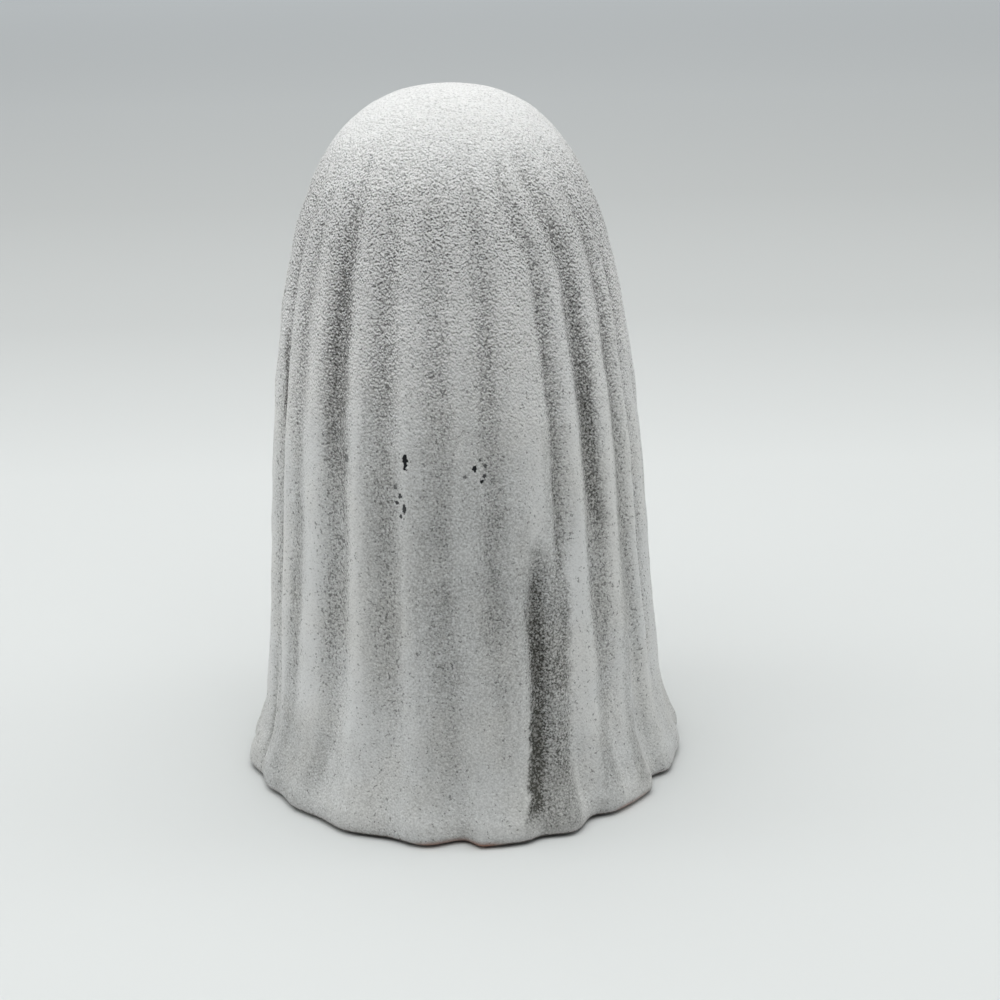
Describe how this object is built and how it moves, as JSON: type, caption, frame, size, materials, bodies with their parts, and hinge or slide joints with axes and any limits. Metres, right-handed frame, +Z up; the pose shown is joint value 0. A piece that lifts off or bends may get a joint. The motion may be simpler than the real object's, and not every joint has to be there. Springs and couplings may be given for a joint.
{
  "type": "ceramic ghost figure",
  "caption": "Hollow free-standing draped ghost of red clay under a gritty white coat, with pierced eyes, a domed head and a scalloped hem on felt pads.",
  "frame": {"origin": "on the table, under the figure's upright axis", "axes": "+Z up towards the crown, the face looks along -Y, the pictured back along +Y, +X towards the figure's own left"},
  "size_m": [0.1251, 0.1306, 0.19],
  "materials": {
    "coated_clay": "gritty matt white coat, thin over a charcoal layer, on red clay",
    "felt": "pressed dark grey felt"
  },
  "bodies": {
    "root": {"ghost_shell": "coated_clay", "pad_back_left": "felt", "pad_back_right": "felt", "pad_front_right": "felt", "pad_front_left": "felt"}
  },
  "joints": []
}
